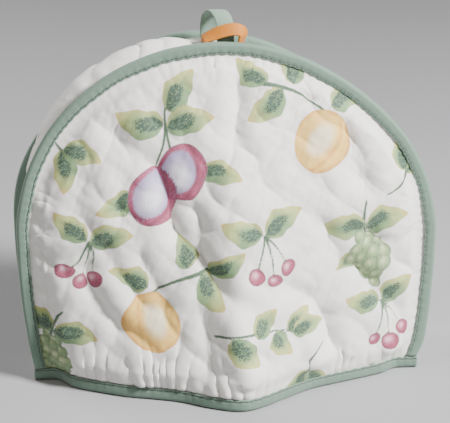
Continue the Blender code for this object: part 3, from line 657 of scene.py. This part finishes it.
# Sprigs on a panel: kind, x and z in millimetres on the flat cloth, turn, flip and size
FRONT_PRINT = (
    ("plum", -46, 152, 8, 1, 1.25), ("apricot", 58, 186, -14, 1, 1.22), ("berry", 96, 92, 8, 1, 1.2),
    ("cherry", -100, 102, -12, 1, 1.2), ("apricot", -50, 66, 8, -1, 1.2), ("cherry", 22, 106, 12, 1, 1.2),
    ("leaf", 15, 46, -8, 1, 1.1), ("cherry", 108, 46, 16, 1, 1.15), ("pair", 126, 152, 196, 1, 1.15),
    ("pair", -112, 170, 84, 1, 1.15), ("berry", -126, 24, -12, 1, 1.15), ("pair", 50, 13, 36, 1, 1.05),
)
BACK_PRINT = (
    ("plum", -10, 180, 4, 1, 1.25), ("apricot", -78, 122, 24, 1, 1.22), ("cherry", 84, 166, -20, 1, 1.2),
    ("leaf", -76, 196, 40, 1, 1.15), ("berry", 60, 92, -8, -1, 1.2), ("cherry", -8, 92, 12, 1, 1.2),
    ("plum", -96, 30, -14, -1, 1.2), ("apricot", 16, 30, -10, 1, 1.22), ("leaf", 124, 96, 92, 1, 1.1),
    ("cherry", 104, 26, 22, -1, 1.2),
)


def paint(layout, x, z, seed):
    """Prints a layout of sprigs on the cloth's points, given in metres."""
    cloth = Print(x * 1000, z * 1000, seed)
    for row in layout:
        cloth.sprig(*row)
    return cloth


class Nodes:
    """The nodes of a material or a group. Values for their inputs are sockets, numbers or colours."""

    def __init__(self, tree):
        self.tree = tree

    def link(self, output, socket):
        """Links an output to an input."""
        self.tree.links.new(output, socket)

    def add(self, kind, inputs, **settings):
        """Adds a node and gives it."""
        node = self.tree.nodes.new("ShaderNode" + kind)
        for name, value in settings.items():
            setattr(node, name, value)
        for label, value in inputs.items():
            if isinstance(value, (int, float)):
                node.inputs[label].default_value = value
            elif isinstance(value, (tuple, np.ndarray)):
                node.inputs[label].default_value = (*map(float, value), 1)
            elif value is not None:
                self.link(value, node.inputs[label])
        return node

    def math(self, operation, *values):
        """Gives the result of a sum on the values."""
        return self.add("Math", dict(enumerate(values)), operation=operation).outputs[0]

    def noise(self, place, scale, detail):
        """Gives soft noise of a fineness at a place."""
        return self.add("TexNoise", {"Vector": place, "Scale": scale, "Detail": detail}).outputs["Fac"]

    def step(self, value, low, high):
        """Gives a smooth step from 0 to 1 as a value goes between two limits."""
        limits = {"Value": value, "From Min": low, "From Max": high}
        return self.add("MapRange", limits, interpolation_type="SMOOTHSTEP").outputs["Result"]

    def mix(self, kind, factor, first, second):
        """Gives a mix of two colours."""
        parts = {0: factor, 6: first, 7: second}
        return self.add("Mix", parts, data_type="RGBA", blend_type=kind).outputs[2]

    def relief(self, height, distance, strength, onto=None):
        """Gives the normal of a relief whose height is in shares of a distance in metres."""
        parts = {"Height": height, "Distance": distance, "Strength": strength, "Normal": onto}
        return self.add("Bump", parts).outputs["Normal"]

    def use(self, group, **values):
        """Gives the outputs of a group."""
        return self.add("Group", values, node_tree=group).outputs


def new_group(name, inputs, outputs):
    """A group of nodes, the sockets that bring its inputs and those that take its outputs.

    An input that has no number of its own is a place.
    """
    group = bpy.data.node_groups.new(name, "ShaderNodeTree")
    for label, value in inputs.items():
        kind = "NodeSocketVector" if value is None else "NodeSocketFloat"
        socket = group.interface.new_socket(name=label, in_out="INPUT", socket_type=kind)
        if value is not None:
            socket.default_value = value
    for label in outputs:
        group.interface.new_socket(name=label, in_out="OUTPUT", socket_type="NodeSocketFloat")
    return Nodes(group), group.nodes.new("NodeGroupInput").outputs, group.nodes.new("NodeGroupOutput").inputs


def make_weave_group():
    """Plain weave: height and shade of crossing threads, from a place on the flat cloth in metres."""
    nodes, given, result = new_group("plain_weave", {"Place": None, "Pitch": 0.0006}, ("Height", "Shade"))
    split = nodes.add("SeparateXYZ", {0: given["Place"]})
    waves = []
    for axis in (0, 1):
        turns = nodes.math("DIVIDE", split.outputs[axis], given["Pitch"])
        waves.append(nodes.math("SINE", nodes.math("MULTIPLY", turns, pi)))
    threads = nodes.math("ABSOLUTE", nodes.math("MULTIPLY", *waves))
    slub = nodes.noise(given["Place"], 900, 2)
    height = nodes.math("ADD", threads, nodes.math("MULTIPLY", slub, 0.8))
    nodes.link(height, result["Height"])
    nodes.link(nodes.math("MULTIPLY_ADD", height, 0.10, 0.90), result["Shade"])
    return nodes.tree


def make_tone_group():
    """Soft uneven tone of washed cloth, from a place in space in metres."""
    nodes, given, result = new_group("washed_tone", {"Place": None, "Strength": 0.06}, ("Shade",))
    swing = nodes.math("SUBTRACT", nodes.noise(given["Place"], 26, 4), 0.5)
    nodes.link(nodes.math("MULTIPLY_ADD", swing, given["Strength"], 1.0), result["Shade"])
    return nodes.tree


def make_stitch_group():
    """A row of machine stitches along the tape: their mask, the share of painted shade in their groove, and
    their height, from the flat place in metres.
    """
    nodes, given, result = new_group(
        "stitch_row", {"Place": None, "Line": 0.001, "Pitch": 0.0034, "Width": 0.0009},
        ("Mask", "Groove Shade", "Height"))
    split = nodes.add("SeparateXYZ", {0: given["Place"]})
    away = nodes.math("ABSOLUTE", nodes.math("SUBTRACT", split.outputs[1], given["Line"]))
    near = nodes.math("SUBTRACT", 1.0, nodes.math("DIVIDE", away, given["Width"]))
    near = nodes.math("MAXIMUM", near, 0.0)
    step = nodes.math("FRACT", nodes.math("DIVIDE", split.outputs[0], given["Pitch"]))
    arch = nodes.math("SINE", nodes.math("MULTIPLY", step, pi))
    body = nodes.math("GREATER_THAN", arch, 0.45)
    mask = nodes.math("MULTIPLY", nodes.math("GREATER_THAN", near, 0.35), body)
    nodes.link(mask, result["Mask"])
    nodes.link(near, result["Groove Shade"])
    nodes.link(nodes.math("MULTIPLY", near, arch), result["Height"])
    return nodes.tree


WEAVE = make_weave_group()
TONE = make_tone_group()
STITCH = make_stitch_group()
PRINT_LAYERS = ("ink", "grain_ink", "grain", "inside_print")


def cloth_material(name, colour, roughness, sheen, pitch, printed=False, stitches=()):
    """Woven cloth: washed tone, weave and, where asked, a print or rows of stitches, whose groove and
    stitches get painted shade.
    """
    made = bpy.data.materials.new(name)
    made.use_nodes = True
    nodes = Nodes(made.node_tree)
    shader = made.node_tree.nodes["Principled BSDF"]
    for label, value in (("Roughness", roughness), ("Specular IOR Level", 0.35), ("Sheen Weight", sheen),
                         ("Sheen Roughness", 0.45)):
        shader.inputs[label].default_value = value
    coordinates = nodes.add("TexCoord", {}).outputs
    flat, place = coordinates["UV"], coordinates["Object"]
    weave = nodes.use(WEAVE, Place=flat, Pitch=pitch)
    tone = nodes.use(TONE, Place=place, Strength=0.10)
    base = colour
    if printed:
        ink, grain_ink, grain, inside = (
            nodes.add("Attribute", {}, attribute_name=label).outputs for label in PRINT_LAYERS)
        edge = nodes.math("MULTIPLY_ADD", nodes.noise(flat, 1300, 1), 0.9, -0.45)
        edge = nodes.math("ADD", inside["Fac"], edge)
        cover = nodes.math("MULTIPLY", nodes.step(edge, -0.25, 0.40), 0.94)
        grains = nodes.math("MULTIPLY_ADD", nodes.noise(flat, 1150, 2), 2.2, -0.6)
        grains = nodes.step(nodes.math("SUBTRACT", grain["Fac"], grains), -0.16, 0.16)
        motif = nodes.mix("MIX", grains, ink["Color"], grain_ink["Color"])
        base = nodes.mix("MIX", cover, colour, motif)
    thread_height = None
    for line in stitches:
        row = nodes.use(STITCH, Place=flat, Line=line)
        # Painted shade: the groove along each row and the stitches in it are painted darker than the tape,
        # for the shade in these sunk lines.
        for label, share, depth in (("Groove Shade", 0.80, 0.36), ("Mask", 0.75, 0.30)):
            painted_shade = tuple(value * depth for value in colour)
            base = nodes.mix("MIX", nodes.math("MULTIPLY", row[label], share), base, painted_shade)
        height = row["Height"]
        thread_height = height if thread_height is None else nodes.math("ADD", thread_height, height)
    base = nodes.mix("MULTIPLY", 1.0, base, nodes.math("MULTIPLY", weave["Shade"], tone["Shade"]))
    nodes.link(base, shader.inputs["Base Color"])
    normal = nodes.relief(weave["Height"], 0.00012, 0.6)
    normal = nodes.relief(nodes.noise(place, 260, 3), 0.0006, 0.35, normal)
    if thread_height is not None:
        normal = nodes.relief(thread_height, 0.0005, 0.9, normal)
    nodes.link(normal, shader.inputs["Normal"])
    return made


CREAM = (0.82, 0.80, 0.765)
SAGE = (0.148, 0.223, 0.171)
AMBER = (0.50, 0.168, 0.012)
printed_cotton = cloth_material("printed_cotton", CREAM, 0.68, 0.20, 0.0006, printed=True)
plain_cotton = cloth_material("plain_cotton", CREAM, 0.72, 0.20, 0.0006)
lining_cotton = cloth_material("lining_cotton", (0.77, 0.75, 0.70), 0.80, 0.10, 0.0006)
STITCH_LINE = 0.0019        # distance of the stitches from the tape's edge
seam_tape_cloth, hem_tape_cloth = (
    cloth_material(name, SAGE, 0.70, 0.30, 0.0007, stitches=(STITCH_LINE, cut - STITCH_LINE))
    for name, cut in (("seam_tape_cloth", SEAM_TAPE_CUT), ("hem_tape_cloth", HEM_TAPE_CUT)))
loop_tape_cloth = cloth_material("loop_tape_cloth", (0.22, 0.32, 0.25), 0.70, 0.30, 0.0007)
strap_cloth = cloth_material("strap_cloth", AMBER, 0.62, 0.06, 0.0008)


def make_panel(side, seam, bow_rows, folds, facing, layout):
    """A printed panel of quilted cloth. Facing is -1 for the front and 1 for the back."""
    columns, low_rows, high_rows = PANEL_GRIDS[side]
    kept = {}

    def shape(col, row):
        col = columns - col if facing > 0 else col
        x, z = panel_plan(seam, col, row, columns, low_rows, high_rows)
        y = seam_depth(seam, x, z) + facing * (
            GAP / 2 + panel_bulge(seam, bow_rows, folds, x, z) + gathers(seam, x, z))
        kept["print"] = paint(layout, -facing * x, z, 21)
        return (x, y, z), loft(seam, x, z), (-facing * x, z)

    piece = add_sheet(side + "_cloth", columns, low_rows + high_rows, shape,
                      (printed_cotton, lining_cotton), FULL_LOFT)
    mesh = piece.data
    printed = kept["print"]
    copies = len(mesh.vertices) // len(printed.inside)
    for name, values in zip(PRINT_LAYERS, (printed.ink, printed.grain_ink, printed.grain, printed.inside)):
        kind, field = ("FLOAT_COLOR", "color") if values.ndim == 2 else ("FLOAT", "value")
        if values.ndim == 2:
            values = np.column_stack((values, np.ones(len(values))))
        layer = mesh.attributes.new(name, kind, "POINT")
        layer.data.foreach_set(field, np.concatenate([values] * copies).astype(np.float32).ravel())
    return piece


def make_gusset():
    """The quilted strip between the panels."""
    steps, lines = GUSSET_GRID
    leg_steps = 70

    def shape(col, row):
        left = CLOTH_BOTTOM / SPRING - 1
        way = np.interp(col, (0, leg_steps, steps - leg_steps, steps), (left, 0, 1, 1 - left))
        line = np.interp(row, (0, 4, 8, 14, lines - 14, lines - 8, lines - 4, lines),
                         (0, 1, 2, 3, GUSSET_LINES - 3, GUSSET_LINES - 2, GUSSET_LINES - 1, GUSSET_LINES))
        return gusset_surface(way, line)

    return add_sheet("gusset_cloth", steps, lines, shape, (plain_cotton, lining_cotton), FULL_LOFT)


# Half of a folded tape's cloth: share of its width, depth inside the fold, distance from the fold's middle
HALF_FOLD = ((0.0, 0.0085, -0.00200), (0.05, 0.0078, -0.00230), (0.10, 0.0070, -0.00198),
             (0.17, 0.0060, -0.00235), (0.30, 0.0040, -0.00250), (0.41, 0.0018, -0.00232),
             (0.46, 0.0008, -0.00165))
EDGE_DEPTH = 0.00035
TAPE_FOLD = (*HALF_FOLD, (0.5, EDGE_DEPTH, 0.0),
             *((1 - share, depth, -beside) for share, depth, beside in reversed(HALF_FOLD)))
HEM_FOLD_SHARE = 0.78       # the hem's tape holds one layer of cloth, so it is thinner than the seam's


def puckers(travel, pitch, seed):
    """Small uneven waves along a tape's stitches, from -1 to 1."""
    return np.sin(2 * pi * travel / pitch + 2 * ripple(travel, 0, 0.05, seed))


def make_seam_tape(side, seam):
    """The tape folded over a seam, with small puckers along its stitches."""
    steps, lines = 460, 26

    def shape(col, row):
        foot = FIN_BOTTOM / SPRING - 1
        way = np.interp(col, (0, 66, steps - 66, steps), (foot, 0, 1, 1 - foot))
        depth, beside = follow(TAPE_FOLD, row / lines)
        leg = np.minimum(way, 0) + np.maximum(way - 1, 0)
        travel = np.clip(way, 0, 1) * pi * HALF_WIDTH + leg * SPRING
        pucker = puckers(travel, 0.0068, 31)
        sway = ripple(travel, 0, 0.045, 32 + len(side))
        inner = ease(depth / TAPE_WIDTH)
        depth = depth + 0.00022 * pucker * inner + 0.00035 * sway * (0.4 + inner)
        beside = beside * (1 + 0.07 * pucker * inner + 0.05 * sway)
        x, z, _, _ = seam_line(seam, way, depth)
        y = seam_depth(seam, x, z) + beside + 0.0005 * ripple(travel, 0, 0.06, 34)
        return (x, y, z), None, (travel, row / lines * SEAM_TAPE_CUT)

    return add_sheet(side + "_tape", steps, lines, shape, (seam_tape_cloth,), TAPE_CLOTH, 0, True)


def make_hem(name, path, outward):
    """The tape folded up over the cloth's foot. The path is the cloth's inner face."""
    length = np.concatenate(([0], np.cumsum(np.linalg.norm(np.diff(path, axis=0), axis=1))))
    steps = max(30, int(length[-1] / HEM_MESH_STEP))
    lines = 26
    even = np.linspace(0, length[-1], steps + 1)
    path = np.column_stack([np.interp(even, length, path[:, axis]) for axis in (0, 1)])
    ahead = np.gradient(path, axis=0)
    ahead /= np.linalg.norm(ahead, axis=1)[:, None]
    normal = outward * np.column_stack((ahead[:, 1], -ahead[:, 0]))

    def shape(col, row):
        at = col.astype(int)
        depth, beside = follow(TAPE_FOLD, row / lines)
        travel = even[at]
        pucker = puckers(travel, 0.0066, 41)
        top = ease((HEM_HEIGHT - depth) / HEM_HEIGHT)
        rise = TAPE_CLOTH / 2 + (depth - EDGE_DEPTH) * (HEM_HEIGHT - 0.0003) / TAPE_WIDTH
        upper = ease(rise / HEM_HEIGHT)
        rise = rise + (0.0003 * pucker + 0.0003 * ripple(travel, 0, 0.04, 42)) * upper
        beside = beside * HEM_FOLD_SHARE * (1 + 0.07 * pucker * upper) - 0.0002 * top
        place = path[at] + normal[at] * (CLOTH_EDGE / 2 - beside)[:, None]
        return (*place.T, rise), None, (travel, row / lines * HEM_TAPE_CUT)

    return add_sheet(name, steps, lines, shape, (hem_tape_cloth,), TAPE_CLOTH, 0, outward < 0)


def panel_foot(seam, bow_rows, facing):
    """Plan of a panel's inner face at the foot, from the left tip to the right tip."""
    reach = [half_width(np.array(0.0), side) - 0.0002 for side in (-1, 1)]
    x = seam.centre + np.linspace(-reach[0], reach[1], 400)
    z = np.zeros_like(x)
    y = seam_depth(seam, x, z) + facing * (GAP / 2 + panel_bulge(seam, bow_rows, (), x, z))
    return np.column_stack((x, y))


def gusset_foot(way):
    """Plan of the gusset's inner face at one foot, from the front to the back."""
    line = np.linspace(2.4, GUSSET_LINES - 2.4, 120)
    points, _, _ = gusset_surface(np.full_like(line, way), line)
    return np.column_stack(points[:2])


def make_hang_loop():
    """The green loop of tape that stands on the gusset."""
    steps, lines = 90, 14
    seam_y = float(seam_depth(FRONT, np.array(HANG_MIDDLE), np.array(TOP)))
    middle = seam_y + (HANG_FRONT + HANG_BACK) / 2
    half = (HANG_BACK - HANG_FRONT) / 2
    foot = float(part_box("hang_loop")[0][2]) - 0.0015

    def shape(col, row):
        angle = pi * col / steps
        side = (row / lines - 0.5) * HANG_WIDTH
        cup = 0.00035 * (1 - (2 * row / lines - 1) ** 2)
        y = middle - (half + cup) * np.cos(angle)
        z = foot + (HANG_CREST + cup - foot) * np.sin(angle) ** 0.6
        x = HANG_MIDDLE + HANG_SKEW * (y - middle) + side + 0.0006 * np.sin(angle * 2)
        return (x, y, z), None, (angle * (half + 0.004), row / lines * HANG_WIDTH)

    return add_sheet("hang_tape", steps, lines, shape, (loop_tape_cloth,), LOOP_CLOTH, 0)


def make_ribbon_loop():
    """The orange strap loop behind the front tape."""
    steps, lines = 90, 12
    seam_y = float(seam_depth(FRONT, np.array(RIBBON_PATH[0][1]), np.array(TOP)))
    foot = float(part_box("ribbon_loop")[0][2])

    def shape(col, row):
        share = col / steps
        x, z, turn = follow(RIBBON_PATH, share)
        ahead, behind = (follow(RIBBON_PATH, share + step) for step in (0.01, -0.01))
        run_x, run_z = ahead[0] - behind[0], ahead[1] - behind[1]
        length = np.hypot(run_x, run_z)
        turn = np.radians(turn)
        side = (row / lines - 0.5) * RIBBON_WIDTH
        up = side * np.sin(turn) + 0.0004 * (1 - (2 * row / lines - 1) ** 2)
        y = seam_y + RIBBON_CLEAR + RIBBON_WIDTH / 2 * np.cos(turn) + side * np.cos(turn)
        at_foot = np.minimum(share, 1 - share) < 0.02
        z = np.where(at_foot, np.minimum(z, foot + 0.0035), z)
        return ((x - up * run_z / length, y, z + up * run_x / length), None,
                (share * RIBBON_LENGTH, row / lines * RIBBON_WIDTH))

    return add_sheet("ribbon_strap", steps, lines, shape, (strap_cloth,), LOOP_CLOTH, 0)


front_cloth = make_panel("front", FRONT, FRONT_BOW, FRONT_FOLDS, -1, FRONT_PRINT)
back_cloth = make_panel("back", BACK, BACK_BOW, BACK_FOLDS, 1, BACK_PRINT)
gusset_cloth = make_gusset()
front_tape = make_seam_tape("front", FRONT)
back_tape = make_seam_tape("back", BACK)
hem_front = make_hem("hem_tape_front", panel_foot(FRONT, FRONT_BOW, -1), 1)
hem_back = make_hem("hem_tape_back", panel_foot(BACK, BACK_BOW, 1), -1)
hem_left = make_hem("hem_tape_left", gusset_foot(-1.0), -1)
hem_right = make_hem("hem_tape_right", gusset_foot(2.0), 1)
hang_tape = make_hang_loop()
ribbon_strap = make_ribbon_loop()
for slot, pieces in (
        ("quilted_cloth", {"front_panel": front_cloth, "back_panel": back_cloth, "gusset": gusset_cloth}),
        ("green_tape", {"front_binding": front_tape, "back_binding": back_tape, "hem_front": hem_front,
                        "hem_back": hem_back, "hem_left": hem_left, "hem_right": hem_right,
                        "hang_loop": hang_tape}),
        ("orange_strap", {"ribbon_loop": ribbon_strap})):
    for node, piece in pieces.items():
        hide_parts(node)

# Floor
bpy.ops.mesh.primitive_plane_add(size=6, location=(0, 0, -0.0004))
floor = bpy.context.object
floor.name = "floor"
floor.select_set(False)
floor_paint = bpy.data.materials.new("floor_paint")
floor_paint.use_nodes = True
floor_shader = floor_paint.node_tree.nodes["Principled BSDF"]
floor_shader.inputs["Base Color"].default_value = (0.34, 0.34, 0.35, 1)
floor_shader.inputs["Roughness"].default_value = 0.9
floor.data.materials.append(floor_paint)


def add_light(name, place, target, size, power, colour=(1, 1, 1)):
    """A soft square light that faces a target."""
    data = bpy.data.lights.new(name, "AREA")
    data.size = size
    data.energy = power
    data.color = colour
    light = bpy.data.objects.new(name, data)
    scene.collection.objects.link(light)
    light.location = place
    light.rotation_euler = (Vector(target) - Vector(place)).to_track_quat("-Z", "Y").to_euler()


add_light("key", (1.02, -0.70, 1.10), (0, 0, 0.12), 0.26, 82)
add_light("fill", (-0.80, -0.45, 1.50), (0, 0, 0.12), 0.30, 5.5, (1.0, 0.93, 0.86))
add_light("front", (-0.15, -1.60, 0.75), (0, 0, 0.15), 0.5, 2.5)
add_light("rim", (-1.0, 0.75, 0.95), (0, 0, 0.15), 0.6, 15)
world = bpy.data.worlds.new("studio")
world.use_nodes = True
background = world.node_tree.nodes["Background"]
background.inputs["Color"].default_value = (1.0, 0.95, 0.89, 1)
background.inputs["Strength"].default_value = 0.06
scene.world = world

# Camera at the photograph's angle
ELEVATION, AZIMUTH, DISTANCE = radians(22.0), radians(-6.0), 1.10
SPAN = 0.323                # width of the view at the cover's middle
VIEW_HEIGHT = 0.112
FILM_WIDTH = 36
target = Vector((SHIFT[0], SHIFT[1], VIEW_HEIGHT))
back = Vector((sin(AZIMUTH) * cos(ELEVATION), -cos(AZIMUTH) * cos(ELEVATION), sin(ELEVATION)))
view = bpy.data.cameras.new("camera")
view.sensor_width = FILM_WIDTH
view.lens = FILM_WIDTH * DISTANCE / SPAN
camera = bpy.data.objects.new("camera", view)
scene.collection.objects.link(camera)
camera.location = target + back * DISTANCE
camera.rotation_euler = (-back).to_track_quat("-Z", "Y").to_euler()
scene.camera = camera
